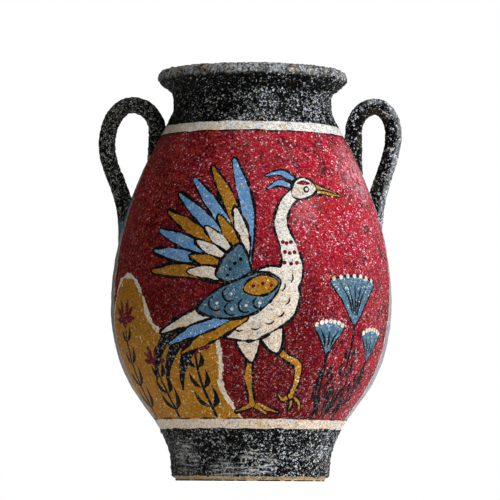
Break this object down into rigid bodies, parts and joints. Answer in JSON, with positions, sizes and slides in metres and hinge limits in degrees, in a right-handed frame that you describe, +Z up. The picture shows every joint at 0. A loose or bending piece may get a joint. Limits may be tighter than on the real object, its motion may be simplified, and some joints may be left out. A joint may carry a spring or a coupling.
{
  "type": "two-handled painted clay vase",
  "caption": "Painted clay vase with an egg-shaped hollow body, narrow foot, short neck, rolled lip and two upright loop handles.",
  "frame": {"origin": "centre of the underside, on the axis of the turned body, in the plane that the vase stands on", "axes": "+Z up along the turned axis, handles towards -X and +X, painted front towards -Y"},
  "size_m": [0.1482, 0.1368, 0.1999],
  "materials": {
    "painted_clay": "sandy fired clay painted in red, black, cream, ochre and blue under a thin varnish"
  },
  "bodies": {
    "root": {"vase": "painted_clay"}
  },
  "joints": []
}
